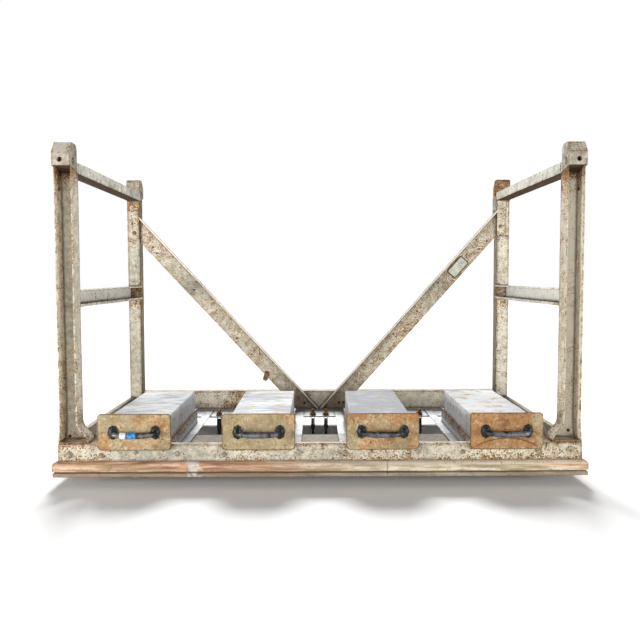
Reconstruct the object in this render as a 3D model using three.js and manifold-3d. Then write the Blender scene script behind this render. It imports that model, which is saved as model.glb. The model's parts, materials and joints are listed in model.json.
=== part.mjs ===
// Luggage trolley: a low pressed-steel base on castors, four corner posts with cast heads, side rails,
// a V brace across the back and four pull-out boxes on guide rails.
// Units are millimetres, +Z is up, -Y is the front with the box handles. The origin is on the ground,
// in the middle of the bounding box.
import * as THREE from 'three';
import { mergeVertices } from 'three/addons/utils/BufferGeometryUtils.js';
import Module from 'manifold-3d';

const wasm = await Module();
wasm.setup();

// ---- Driving dimensions ----
const GAP = 0.3; // clearance between touching pieces
const SHEET = 4; // thickness of the frame's pressed steel

const HALF_LENGTH = 760; // middle to the outer face of a side member
const FRAME_DEPTH = 889; // front face to rear face of the frame
const BASE_BOTTOM = 35;
const BASE_TOP = 123; // top of the front and side members
const FLANGE = 22; // depth of the front member's flanges
const SIDE_FLANGE = 16;
const REAR_TOP = 143;
const REAR_MEMBER_DEPTH = 46;

const RUB_BOTTOM = 29;
const RUB_HEIGHT = 44;
const RUB_THICKNESS = 14;

const POST_WIDTH = 51;
const POST_DEPTH = 56;
const POST_INSET = 4; // outer face of a front post, behind the base's outer face
const POST_SETBACK = 6; // open side of a post, behind the frame's front or rear face
const REAR_POST_WIDTH = 47; // the rear posts are flush with the base's outer face
const FLARE_HEIGHT = 66;
const FLARE_IN = 33;

const HEAD_WIDTH = 50.6;
const HEAD_DEPTH = 70;
const HEAD_TOP = 990;
const HEAD_FACE_BOTTOM = 921.5;
const HEAD_FACE_TOP = 960.5;
const HEAD_BACK_BOTTOM = 904.5;
const HEAD_CHAMFER = 24;
const HEAD_FRONT_HOLE_R = 7;
const HEAD_SIDE_HOLE_R = 10;
const HEAD_HOLE_Z = 938;

const TOP_RAIL_BOTTOM = 906.5;
const TOP_RAIL_HEIGHT = 31.5;
const MID_RAIL_BOTTOM = 518;
const MID_RAIL_HEIGHT = 51;
const MID_RAIL_LIP = [1.5, 4]; // thickness and height of the upturned edge of its lower flange

const BRACE_TOP_LEFT = 844; // height of a brace's upper edge at the post
const BRACE_TOP_RIGHT = 871;
const BRACE_WIDTH = 67;
const BRACE_FLANGE = 22;
const BRACE_FLANGE_THICKNESS = 5;

const PLATE_TOP = 73; // castor plates
const PLATE_THICKNESS = 3;
const FRONT_PLATE_DEPTH = 348;
const REAR_PLATE_DEPTH = 168;

const BOX_PITCH = 358; // spacing of the pull-out boxes
const BOX_WIDTH = 174;
const BOX_LENGTH = 520;
const BOX_BOTTOM = BASE_TOP + 1;
const BOX_TOP = 194.3;
const BOX_SHEET = 2;
const PANEL_WIDTH = 210;
const PANEL_BOTTOM = 107;
const PANEL_TOP = 212;
const PANEL_THICKNESS = 8.5;
const PANEL_BACK = 0.6; // clearance between panel and front member
const HANDLE_HALF = 61; // middle of the handle to a rosette's centre
const HANDLE_Z = 159;
const HANDLE_BAR_R = 7.2;
const HANDLE_REACH = 28.3; // panel face to the bar's centreline
const ROSETTE_THICKNESS = 5;

const RAIL_SHEET = 3;
const RAIL_STRIP = 30; // width of a guide rail's foot
const RAIL_CLEARANCE = 1.2; // box side to guide rail
const RAIL_LEDGE = 14;
const RAIL_LIP = 127; // top of the guide lip beside a box
const RAIL_UPRIGHT_LENGTH = 528;
const RAIL_FOOT_LENGTH = 771;
const RAIL_SLOT_FROM_END = 22;

const WHEEL_R = 30;
const WHEEL_WIDTH = 10.5;
const WHEEL_SIDES = 24;
const AXLE_R = 4;
const FORK_SHEET = 2;
const FORK_WIDTH = 22;
const STEM_R = 5;
const NUT_R = 9;
const CASTOR_X = [25, 386]; // the two rear castors of each side
const REAR_CASTOR_Y = 697;
const FRONT_CASTOR_Y = 110;
const CASTOR_TRAIL = 14; // swivel axis to wheel centre on the front castors

const REACH = PANEL_BACK + PANEL_THICKNESS + HANDLE_REACH + HANDLE_BAR_R; // handles before the frame
const FRONT = (REACH - FRAME_DEPTH - RUB_THICKNESS) / 2; // Y of the frame's front face
const REAR = FRONT + FRAME_DEPTH;
const POST_OUT = HALF_LENGTH - POST_INSET;
const POST_IN = POST_OUT - POST_WIDTH;
const REAR_POST_IN = HALF_LENGTH - REAR_POST_WIDTH;
const PLATE_BOTTOM = PLATE_TOP - PLATE_THICKNESS;
const REAR_FACE = REAR - REAR_MEMBER_DEPTH; // inner face of the rear member
const CROSS_HALF = HALF_LENGTH - SIDE_FLANGE - GAP; // half length of what fits between the side members
const REAR_CASTOR_X = [-CASTOR_X[1], -CASTOR_X[0], CASTOR_X[0], CASTOR_X[1]];
const REAR_CASTORS = REAR_CASTOR_X.map((x) => [x, FRONT + REAR_CASTOR_Y]);
const FRONT_CASTORS = [-1, 1].map((side) => [side * CASTOR_X[1], FRONT + FRONT_CASTOR_Y]);

// ---- Finishes: colour, roughness, metalness ----
const FINISHES = {
  frame_paint: ['#aaa68f', 0.75, 0.3],
  head_paint: ['#bdb8a8', 0.7, 0.3],
  rub_strip: ['#c8a98a', 0.6, 0.2],
  panel_rust: ['#b08d5c', 0.8, 0.3],
  box_sheet: ['#c9ccd0', 0.6, 0.5],
  rail_sheet: ['#c4cad2', 0.5, 0.6],
  handle_iron: ['#26272a', 0.5, 0.7],
  castor_steel: ['#2c2c2e', 0.5, 0.7],
  castor_tyre: ['#1a1a1b', 0.85, 0],
};

const trolley = new THREE.Group();

function addPart(name, geometry, finish) {
  const [color, roughness, metalness] = FINISHES[finish];
  const material = new THREE.MeshStandardMaterial({ color, roughness, metalness });
  const mesh = new THREE.Mesh(geometry, material);
  mesh.name = name;
  trolley.add(mesh);
}

// ---- Solids ----
function toSolid(geometry) {
  const bare = geometry.clone();
  bare.deleteAttribute('normal');
  bare.deleteAttribute('uv');
  const merged = mergeVertices(bare, 1e-4);
  const vertProperties = new Float32Array(merged.attributes.position.array);
  const triVerts = new Uint32Array(merged.index.array);
  return new wasm.Manifold(new wasm.Mesh({ numProp: 3, vertProperties, triVerts }));
}

function toGeometry(solid) {
  const mesh = solid.getMesh();
  const geometry = new THREE.BufferGeometry();
  geometry.setAttribute('position', new THREE.BufferAttribute(mesh.vertProperties, 3));
  geometry.setIndex(new THREE.BufferAttribute(mesh.triVerts, 1));
  return geometry;
}

function join(geometries) {
  return toGeometry(geometries.map(toSolid).reduce((whole, piece) => whole.add(piece)));
}

function cut(geometry, tools) {
  return toGeometry(tools.map(toSolid).reduce((whole, tool) => whole.subtract(tool), toSolid(geometry)));
}

// A box between two corners, given in any order.
function block(a, b) {
  const size = a.map((value, i) => Math.abs(b[i] - value));
  const middle = a.map((value, i) => (value + b[i]) / 2);
  return new THREE.BoxGeometry(...size).translate(...middle);
}

function outline(points) {
  return new THREE.Shape(points.map(([u, v]) => new THREE.Vector2(u, v)));
}

// An outline of [y, z] points, extruded along X.
function prismX(shape, x0, x1) {
  const options = { depth: x1 - x0, bevelEnabled: false, curveSegments: 6 };
  const geometry = new THREE.ExtrudeGeometry(shape, options);
  const basis = new THREE.Matrix4();
  basis.makeBasis(new THREE.Vector3(0, 1, 0), new THREE.Vector3(0, 0, 1), new THREE.Vector3(1, 0, 0));
  return geometry.applyMatrix4(basis).translate(x0, 0, 0);
}

// An outline of [x, z] points, extruded along Y.
function prismY(shape, y0, y1) {
  const options = { depth: y1 - y0, bevelEnabled: false, curveSegments: 6 };
  const geometry = new THREE.ExtrudeGeometry(shape, options);
  return geometry.rotateX(Math.PI / 2).translate(0, y1, 0);
}

function pinX(radius, x0, x1, y, z, sides = 16) {
  const geometry = new THREE.CylinderGeometry(radius, radius, x1 - x0, sides);
  return geometry.rotateZ(Math.PI / 2).translate((x0 + x1) / 2, y, z);
}

function pinY(radius, y0, y1, x, z, sides = 16) {
  return new THREE.CylinderGeometry(radius, radius, y1 - y0, sides).translate(x, (y0 + y1) / 2, z);
}

function pinZ(radius, z0, z1, x, y, sides = 16) {
  const geometry = new THREE.CylinderGeometry(radius, radius, z1 - z0, sides);
  return geometry.rotateX(Math.PI / 2).translate(x, y, (z0 + z1) / 2);
}

// ---- Base ----
function frontMember() {
  const shell = block([-HALF_LENGTH, FRONT, BASE_BOTTOM], [HALF_LENGTH, FRONT + FLANGE, BASE_TOP]);
  const inside = block(
    [SHEET - HALF_LENGTH, FRONT + SHEET, BASE_BOTTOM + SHEET],
    [HALF_LENGTH - SHEET, FRONT + FLANGE + SHEET, BASE_TOP - SHEET],
  );
  return cut(shell, [inside]);
}

function sideMember(side) {
  const start = FRONT + FLANGE + GAP;
  const open = HALF_LENGTH - SIDE_FLANGE;
  const shell = block([side * open, start, BASE_BOTTOM], [side * HALF_LENGTH, REAR, BASE_TOP]);
  const inside = block(
    [side * (open - SHEET), start + SHEET, BASE_BOTTOM + SHEET],
    [side * (HALF_LENGTH - SHEET), REAR - SHEET, BASE_TOP - SHEET],
  );
  return cut(shell, [inside]);
}

// An inverted trough between the side members, notched round the rear posts.
function rearMember() {
  const shell = block([-CROSS_HALF, REAR_FACE, BASE_BOTTOM], [CROSS_HALF, REAR, REAR_TOP]);
  const inside = block(
    [SHEET - CROSS_HALF, REAR_FACE + SHEET, BASE_BOTTOM - SHEET],
    [CROSS_HALF - SHEET, REAR - SHEET, REAR_TOP - SHEET],
  );
  const notch = (side) => block(
    [side * (REAR_POST_IN - GAP), REAR_FACE - SHEET, BASE_TOP],
    [side * HALF_LENGTH, REAR + SHEET, REAR_TOP + SHEET],
  );
  return cut(shell, [inside, notch(-1), notch(1)]);
}

// The rubbing strip's section as [outward, z]: a thin lower band, a groove, and a main band with a
// rounded top.
function rubSection() {
  const low = RUB_BOTTOM;
  const face = RUB_THICKNESS;
  const shape = new THREE.Shape();
  shape.moveTo(GAP, low);
  shape.lineTo(face - 2, low);
  shape.lineTo(face - 1, low + 1.5);
  shape.lineTo(face - 1, low + 11);
  shape.lineTo(face - 5, low + 12);
  shape.lineTo(face - 5, low + 15);
  shape.lineTo(face, low + 16.5);
  shape.lineTo(face, low + 34);
  shape.quadraticCurveTo(face - 1, low + 41, GAP + 3, low + RUB_HEIGHT);
  shape.lineTo(GAP, low + RUB_HEIGHT);
  shape.closePath();
  return shape;
}

// One strip along a face of the base that is 2 * half long, mitred at both ends.
function rubStrip(half) {
  const geometry = prismX(rubSection(), -1, 1);
  const position = geometry.attributes.position;
  for (let i = 0; i < position.count; i += 1) {
    const outward = position.getY(i);
    position.setX(i, Math.sign(position.getX(i)) * (half + outward - GAP));
  }
  return geometry;
}

// ---- Posts ----
// The edge of a post from its flared foot to its top, as [x, z] points, for x0 above the flare.
function flaredEdge(x0, flare, foot) {
  const knee = foot + FLARE_HEIGHT;
  const curve = new THREE.CubicBezierCurve(
    new THREE.Vector2(x0 + flare, foot),
    new THREE.Vector2(x0 + flare * 0.9, foot + FLARE_HEIGHT * 0.5),
    new THREE.Vector2(x0, foot + FLARE_HEIGHT * 0.45),
    new THREE.Vector2(x0, knee),
  );
  const points = curve.getPoints(8).map((point) => [point.x, point.y]);
  points.push([x0, HEAD_TOP]);
  return points;
}

// A channel post. open is -1 where its open side faces the front and 1 where it faces the rear.
function post(side, open) {
  const foot = BASE_TOP + GAP;
  const front = open < 0;
  const y0 = front ? FRONT + POST_SETBACK : REAR - POST_SETBACK - POST_DEPTH;
  const y1 = y0 + POST_DEPTH;
  const webY = front ? y1 - SHEET : y0;
  const flareIn = front ? -FLARE_IN : 0;
  const flareOut = front ? POST_INSET : 0;
  const xIn = front ? POST_IN : REAR_POST_IN;
  const xOut = front ? POST_OUT : HALF_LENGTH;
  const inner = flaredEdge(xIn, flareIn, foot);
  const outer = flaredEdge(xOut, flareOut, foot);
  const at = ([x, z], shift = 0) => [side * (x + shift), z];
  const strip = (near, far, shiftNear, shiftFar) => outline([
    ...near.map((point) => at(point, shiftNear)),
    ...far.map((point) => at(point, shiftFar)).reverse(),
  ]);
  const solid = join([
    prismY(strip(inner, outer, 0, 0), webY, webY + SHEET),
    prismY(strip(inner, inner, 0, SHEET), y0, y1),
    prismY(strip(outer, outer, -SHEET, 0), y0, y1),
    block([side * (xIn + flareIn), y0, foot], [side * (xOut + flareOut), y1, foot + SHEET]),
  ]);
  return cut(solid, [aboveHeadSeat(side, front)]);
}

// Everything above a head's sloping underside, less the clearance.
function aboveHeadSeat(side, front) {
  const profile = headProfile(front, GAP);
  const face = profile[0];
  const back = profile[1];
  const shape = outline([face, back, [back[0], HEAD_TOP + 20], [face[0], HEAD_TOP + 20]]);
  const inner = HALF_LENGTH - 1.5 * HEAD_WIDTH;
  return prismX(shape, side > 0 ? inner : -HALF_LENGTH - SHEET, side > 0 ? HALF_LENGTH + SHEET : -inner);
}

// A head's outline as [y, z] points, from the bottom of its outer face. drop lowers its underside.
function headProfile(front, drop = 0) {
  const place = ([depth, z]) => [front ? FRONT + depth : REAR - depth, z];
  return [
    [0, HEAD_FACE_BOTTOM - drop],
    [HEAD_DEPTH, HEAD_BACK_BOTTOM - drop],
    [HEAD_DEPTH, HEAD_TOP - 14],
    [HEAD_DEPTH - 4, HEAD_TOP - 5],
    [HEAD_DEPTH - 14, HEAD_TOP],
    [HEAD_CHAMFER, HEAD_TOP],
    [0, HEAD_FACE_TOP],
  ].map(place);
}

function head(side, front) {
  const x0 = side > 0 ? HALF_LENGTH - HEAD_WIDTH : -HALF_LENGTH;
  const x1 = x0 + HEAD_WIDTH;
  const solid = prismX(outline(headProfile(front)), x0, x1);
  const faceY = front ? FRONT : REAR;
  const holeDepth = 26;
  const y0 = front ? faceY - 1 : faceY - holeDepth;
  const middleY = front ? faceY + HEAD_DEPTH / 2 : faceY - HEAD_DEPTH / 2;
  const frontHole = pinY(HEAD_FRONT_HOLE_R, y0, y0 + holeDepth + 1, (x0 + x1) / 2 + side * 2, HEAD_HOLE_Z);
  const innerX = side > 0 ? x0 : x1;
  const sideHole = pinX(HEAD_SIDE_HOLE_R, innerX - 15, innerX + 15, middleY, HEAD_HOLE_Z);
  return cut(solid, [frontHole, sideHole]);
}

// ---- Rails and braces ----
// An angle between the heads: a foot as wide as a head and an upright along its inner edge.
function topRail(side) {
  const low = TOP_RAIL_BOTTOM;
  const shape = outline([
    [side * POST_IN, low],
    [side * (POST_OUT - 1), low],
    [side * (POST_OUT - 1), low + SHEET],
    [side * (POST_IN + SHEET), low + SHEET],
    [side * (POST_IN + SHEET), low + TOP_RAIL_HEIGHT],
    [side * POST_IN, low + TOP_RAIL_HEIGHT],
  ]);
  return prismY(shape, FRONT + HEAD_DEPTH + GAP, REAR - HEAD_DEPTH - GAP);
}

// A channel between the posts, open towards the middle.
function midRail(side) {
  const low = MID_RAIL_BOTTOM;
  const high = low + MID_RAIL_HEIGHT;
  const back = POST_OUT - 1;
  const shape = outline([
    [side * POST_IN, low],
    [side * back, low],
    [side * back, high],
    [side * POST_IN, high],
    [side * POST_IN, high - SHEET],
    [side * (back - SHEET), high - SHEET],
    [side * (back - SHEET), low + SHEET],
    [side * (POST_IN + MID_RAIL_LIP[0]), low + SHEET],
    [side * (POST_IN + MID_RAIL_LIP[0]), low + SHEET + MID_RAIL_LIP[1]],
    [side * POST_IN, low + SHEET + MID_RAIL_LIP[1]],
  ]);
  const start = FRONT + POST_SETBACK + POST_DEPTH + GAP;
  return prismY(shape, start, REAR - POST_SETBACK - POST_DEPTH - GAP);
}

// One leg of the V: an angle from a rear post down to the middle of the rear member's foot.
function brace(side) {
  const x0 = REAR_POST_IN - GAP;
  const foot = PLATE_TOP + GAP;
  const top = side < 0 ? BRACE_TOP_LEFT : BRACE_TOP_RIGHT;
  const slope = (top - foot) / x0;
  const angle = Math.atan(slope);
  const y1 = REAR_FACE - GAP;
  // The upper edge runs from the post to the middle of the foot; width is measured square to it.
  const strip = (width) => {
    const fall = width / Math.cos(angle);
    return outline([
      [side * x0, top],
      [side * GAP, foot + slope * GAP],
      [side * GAP, foot],
      [(side * fall) / slope, foot],
      [side * x0, top - fall],
    ]);
  };
  const web = prismY(strip(BRACE_WIDTH), y1 - SHEET, y1);
  const flange = prismY(strip(BRACE_FLANGE_THICKNESS), y1 - BRACE_FLANGE, y1);
  return join([web, flange]);
}

// ---- Castor plates and guide rails ----
function plateHoles(castors) {
  return castors.map(([x, y]) => pinZ(STEM_R + GAP, PLATE_BOTTOM - 1, PLATE_TOP + 1, x, y));
}

// A plate between y0 and y1 whose ends reach the webs of the side members.
function castorPlate(y0, y1) {
  const endHalf = HALF_LENGTH - SHEET - GAP;
  const endY0 = Math.max(y0, FRONT + FLANGE + SHEET + 2 * GAP);
  return join([
    block([-CROSS_HALF, y0, PLATE_BOTTOM], [CROSS_HALF, y1, PLATE_TOP]),
    block([-endHalf, endY0, PLATE_BOTTOM], [endHalf, y1, PLATE_TOP]),
  ]);
}

// The front plate is welded to the web of the front member.
function frontPlate() {
  return cut(castorPlate(FRONT + SHEET + GAP, FRONT + FRONT_PLATE_DEPTH), plateHoles(FRONT_CASTORS));
}

// The rear plate butts against the rear member.
function rearPlate() {
  const y1 = REAR_FACE - GAP;
  return cut(castorPlate(y1 - REAR_PLATE_DEPTH, y1), plateHoles(REAR_CASTORS));
}

// A guide rail: a foot bolted to both castor plates and an upright with a ledge that carries the box.
function guideRail(boxX, side) {
  const web = BOX_WIDTH / 2 + RAIL_CLEARANCE;
  const foot = PLATE_TOP + GAP;
  const ledge = BOX_BOTTOM - GAP;
  const at = ([x, z]) => [boxX + side * x, z];
  const y0 = FRONT + FLANGE + 2 * GAP;
  const strip = [
    [web, foot],
    [web + RAIL_STRIP, foot],
    [web + RAIL_STRIP, foot + RAIL_SHEET],
    [web, foot + RAIL_SHEET],
  ];
  const upright = [
    [web, foot],
    [web + RAIL_SHEET, foot],
    [web + RAIL_SHEET, RAIL_LIP],
    [web, RAIL_LIP],
    [web, ledge],
    [web - RAIL_LEDGE, ledge],
    [web - RAIL_LEDGE, ledge - RAIL_SHEET],
    [web, ledge - RAIL_SHEET],
  ];
  const slotY = y0 + RAIL_FOOT_LENGTH - RAIL_SLOT_FROM_END;
  const slot = block(
    [boxX + side * (web + 11), slotY - 5, foot - 1],
    [boxX + side * (web + 24), slotY + 5, foot + 5],
  );
  const solid = join([
    prismY(outline(strip.map(at)), y0, y0 + RAIL_FOOT_LENGTH),
    prismY(outline(upright.map(at)), y0, y0 + RAIL_UPRIGHT_LENGTH),
  ]);
  return cut(solid, [slot]);
}

// ---- Pull-out boxes ----
function boxTray(x) {
  const half = BOX_WIDTH / 2;
  const y0 = FRONT - GAP;
  const top = BOX_TOP - BOX_SHEET - GAP;
  const shell = block([x - half, y0, BOX_BOTTOM], [x + half, FRONT + BOX_LENGTH, top]);
  const inside = block(
    [x - half + BOX_SHEET, y0 + BOX_SHEET, BOX_BOTTOM + BOX_SHEET],
    [x + half - BOX_SHEET, FRONT + BOX_LENGTH - BOX_SHEET, BOX_TOP + 1],
  );
  return cut(shell, [inside]);
}

function boxCover(x) {
  const half = BOX_WIDTH / 2;
  return block([x - half, FRONT - GAP, BOX_TOP - BOX_SHEET], [x + half, FRONT + BOX_LENGTH, BOX_TOP]);
}

function boxPanel(x) {
  const half = PANEL_WIDTH / 2;
  const top = 9;
  const bottom = 13;
  const shape = new THREE.Shape();
  shape.moveTo(x - half + bottom, PANEL_BOTTOM);
  shape.lineTo(x + half - bottom, PANEL_BOTTOM);
  shape.absarc(x + half - bottom, PANEL_BOTTOM + bottom, bottom, -Math.PI / 2, 0);
  shape.lineTo(x + half, PANEL_TOP - top);
  shape.absarc(x + half - top, PANEL_TOP - top, top, 0, Math.PI / 2);
  shape.lineTo(x - half + top, PANEL_TOP);
  shape.absarc(x - half + top, PANEL_TOP - top, top, Math.PI / 2, Math.PI);
  shape.lineTo(x - half, PANEL_BOTTOM + bottom);
  shape.absarc(x - half + bottom, PANEL_BOTTOM + bottom, bottom, Math.PI, 1.5 * Math.PI);
  const back = FRONT - PANEL_BACK;
  return prismY(shape, back - PANEL_THICKNESS, back);
}

// A cast bow handle: two oval rosettes and a slightly drooping bar.
function boxHandle(x) {
  const face = FRONT - PANEL_BACK - PANEL_THICKNESS - GAP;
  const rosette = (side) => {
    const shape = new THREE.Shape();
    shape.absellipse(x + side * HANDLE_HALF, HANDLE_Z, 14.5, 20, 0, 2 * Math.PI);
    return prismY(shape, face - ROSETTE_THICKNESS, face);
  };
  const half = [[HANDLE_HALF, 3, 0], [58, 15, -0.6], [47, 25, -1.2], [24, HANDLE_REACH - 1.2, -1.8]];
  const middle = [0, HANDLE_REACH - GAP, -2];
  const mirrored = half.map(([u, reach, z]) => [-u, reach, z]);
  const place = ([u, reach, z]) => new THREE.Vector3(x + u, face - reach, HANDLE_Z + z);
  const path = new THREE.CatmullRomCurve3([...mirrored, middle, ...half.reverse()].map(place));
  const section = new THREE.Shape();
  section.absarc(0, 0, HANDLE_BAR_R, 0, 2 * Math.PI);
  const bar = new THREE.ExtrudeGeometry(section, { extrudePath: path, steps: 18, curveSegments: 5 });
  return join([bar, rosette(-1), rosette(1)]);
}

// ---- Castors ----
// A fork with its axle, and a stem through the plate that is headed by a nut. trail moves the axle back.
function castorFork(x, y, trail) {
  const inner = WHEEL_WIDTH / 2 + 0.75;
  const outer = inner + FORK_SHEET;
  const crown = PLATE_BOTTOM - GAP;
  const axleY = y + trail;
  const half = FORK_WIDTH / 2;
  const leg = (side) => {
    const shape = new THREE.Shape();
    shape.moveTo(axleY + half, WHEEL_R);
    shape.lineTo(y + half, crown);
    shape.lineTo(y - half, crown);
    shape.lineTo(axleY - half, WHEEL_R);
    shape.absarc(axleY, WHEEL_R, half, Math.PI, 2 * Math.PI);
    return prismX(shape, x + (side > 0 ? inner : -outer), x + (side > 0 ? outer : -inner));
  };
  return join([
    leg(-1),
    leg(1),
    block([x - outer, y - half, crown - 3.5], [x + outer, y + half, crown]),
    pinX(AXLE_R, x - inner - 1, x + inner + 1, axleY, WHEEL_R),
    pinZ(STEM_R, crown - 1, PLATE_TOP + 20, x, y),
    pinZ(NUT_R, PLATE_TOP + GAP, PLATE_TOP + 10, x, y, 6),
  ]);
}

// A narrow wheel whose flat facet meets the ground.
function castorWheel(x, y) {
  const half = WHEEL_WIDTH / 2;
  const tread = WHEEL_R / Math.cos(Math.PI / WHEEL_SIDES);
  const bore = AXLE_R + GAP;
  const profile = [
    [bore, -half],
    [tread - 2, -half],
    [tread, 1.5 - half],
    [tread, half - 1.5],
    [tread - 2, half],
    [bore, half],
    [bore, -half],
  ].map(([radius, along]) => new THREE.Vector2(radius, along));
  const geometry = new THREE.LatheGeometry(profile, WHEEL_SIDES);
  geometry.rotateZ(Math.PI / 2).rotateX(Math.PI / WHEEL_SIDES);
  return geometry.translate(x, y, WHEEL_R);
}

// ---- Assembly ----
addPart('base_front_member', frontMember(), 'frame_paint');
addPart('base_rear_member', rearMember(), 'frame_paint');
addPart('rub_strip_front', rubStrip(HALF_LENGTH).rotateZ(Math.PI).translate(0, FRONT, 0), 'rub_strip');
addPart('rub_strip_rear', rubStrip(HALF_LENGTH).translate(0, REAR, 0), 'rub_strip');
addPart('castor_plate_front', frontPlate(), 'rail_sheet');
addPart('castor_plate_rear', rearPlate(), 'rail_sheet');

for (const [name, side] of [['left', -1], ['right', 1]]) {
  const strip = rubStrip(FRAME_DEPTH / 2).rotateZ(-side * Math.PI / 2);
  addPart(`base_side_member_${name}`, sideMember(side), 'frame_paint');
  addPart(`rub_strip_${name}`, strip.translate(side * HALF_LENGTH, (FRONT + REAR) / 2, 0), 'rub_strip');
  addPart(`post_front_${name}`, post(side, -1), 'frame_paint');
  addPart(`post_rear_${name}`, post(side, 1), 'frame_paint');
  addPart(`head_front_${name}`, head(side, true), 'head_paint');
  addPart(`head_rear_${name}`, head(side, false), 'head_paint');
  addPart(`top_rail_${name}`, topRail(side), 'frame_paint');
  addPart(`mid_rail_${name}`, midRail(side), 'frame_paint');
  addPart(`brace_${name}`, brace(side), 'frame_paint');
}

for (const number of [1, 2, 3, 4]) {
  const x = (number - 2.5) * BOX_PITCH;
  addPart(`guide_rail_${number}_left`, guideRail(x, -1), 'rail_sheet');
  addPart(`guide_rail_${number}_right`, guideRail(x, 1), 'rail_sheet');
  addPart(`box_${number}_tray`, boxTray(x), 'box_sheet');
  addPart(`box_${number}_cover`, boxCover(x), 'box_sheet');
  addPart(`box_${number}_panel`, boxPanel(x), 'panel_rust');
  addPart(`box_${number}_handle`, boxHandle(x), 'handle_iron');
}

REAR_CASTORS.forEach(([x, y], i) => {
  addPart(`rear_castor_${i + 1}_fork`, castorFork(x, y, 0), 'castor_steel');
  addPart(`rear_castor_${i + 1}_wheel`, castorWheel(x, y), 'castor_tyre');
});
FRONT_CASTORS.forEach(([x, y], i) => {
  addPart(`front_castor_${i + 1}_fork`, castorFork(x, y, CASTOR_TRAIL), 'castor_steel');
  addPart(`front_castor_${i + 1}_wheel`, castorWheel(x, y + CASTOR_TRAIL), 'castor_tyre');
});

export default trolley;
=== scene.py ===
import json
import math

import bmesh
import bpy
import numpy as np
from mathutils import Matrix, Vector, noise
from mathutils.bvhtree import BVHTree


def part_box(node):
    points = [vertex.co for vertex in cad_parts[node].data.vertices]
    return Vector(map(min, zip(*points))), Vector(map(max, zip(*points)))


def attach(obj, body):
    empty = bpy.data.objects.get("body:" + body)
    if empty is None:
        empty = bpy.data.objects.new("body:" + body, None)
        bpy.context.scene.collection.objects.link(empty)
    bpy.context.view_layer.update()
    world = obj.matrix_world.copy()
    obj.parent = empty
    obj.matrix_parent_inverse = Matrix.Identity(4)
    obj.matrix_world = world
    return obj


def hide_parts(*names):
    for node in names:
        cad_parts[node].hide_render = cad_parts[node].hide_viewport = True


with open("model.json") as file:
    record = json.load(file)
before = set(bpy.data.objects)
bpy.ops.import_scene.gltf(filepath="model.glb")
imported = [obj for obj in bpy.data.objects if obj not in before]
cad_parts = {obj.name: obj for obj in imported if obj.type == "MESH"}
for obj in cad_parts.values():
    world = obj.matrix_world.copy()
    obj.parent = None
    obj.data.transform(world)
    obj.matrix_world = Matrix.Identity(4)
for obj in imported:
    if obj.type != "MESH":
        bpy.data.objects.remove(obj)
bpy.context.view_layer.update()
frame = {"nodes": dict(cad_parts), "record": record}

# Weathered looks for the luggage trolley, in metres. Every sheet-metal node of the CAD frame is stood for
# by a finer copy of itself: same shape, with rolled edges, a little waviness and the distances to its own
# edges and nooks stored on its points, which the finishes use for wear, rust, and dirt with painted shade
# in the nooks. The points also store a tone that is partly painted light, and painted shade with some grime.

# ---- Driving values ----
MM = 0.001
GRID = 0.009  # spacing of the points on refined sheet metal
BEVEL = 0.0009  # radius of a sheet's edges
SHARP = math.radians(28)
REACH_MM = 20.0  # distances to edges and nooks are stored up to this
WARP = 0.0007  # how far the old frame is out of true; moving parts and what guides them stay true
DOME = 0.16  # brightness of the surroundings as a light

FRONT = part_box("base_front_member")[0].y
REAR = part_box("base_rear_member")[1].y
SLOTS = {part["node"]: part["material_slot"] for part in frame["record"]["subparts"]}
BODIES = {node: body for body, nodes in frame["record"]["behaviour"]["bodies"].items() for node in nodes}
SIDES = (("left", -1), ("right", 1))
BOXES = (1, 2, 3, 4)


# ---- Node-tree helper ----
def linear(red, green, blue):
    """An sRGB colour of 0 to 255 as a linear colour with alpha."""
    def channel(value):
        value /= 255
        return value / 12.92 if value <= 0.04045 else ((value + 0.055) / 1.055) ** 2.4
    return (channel(red), channel(green), channel(blue), 1.0)


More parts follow.
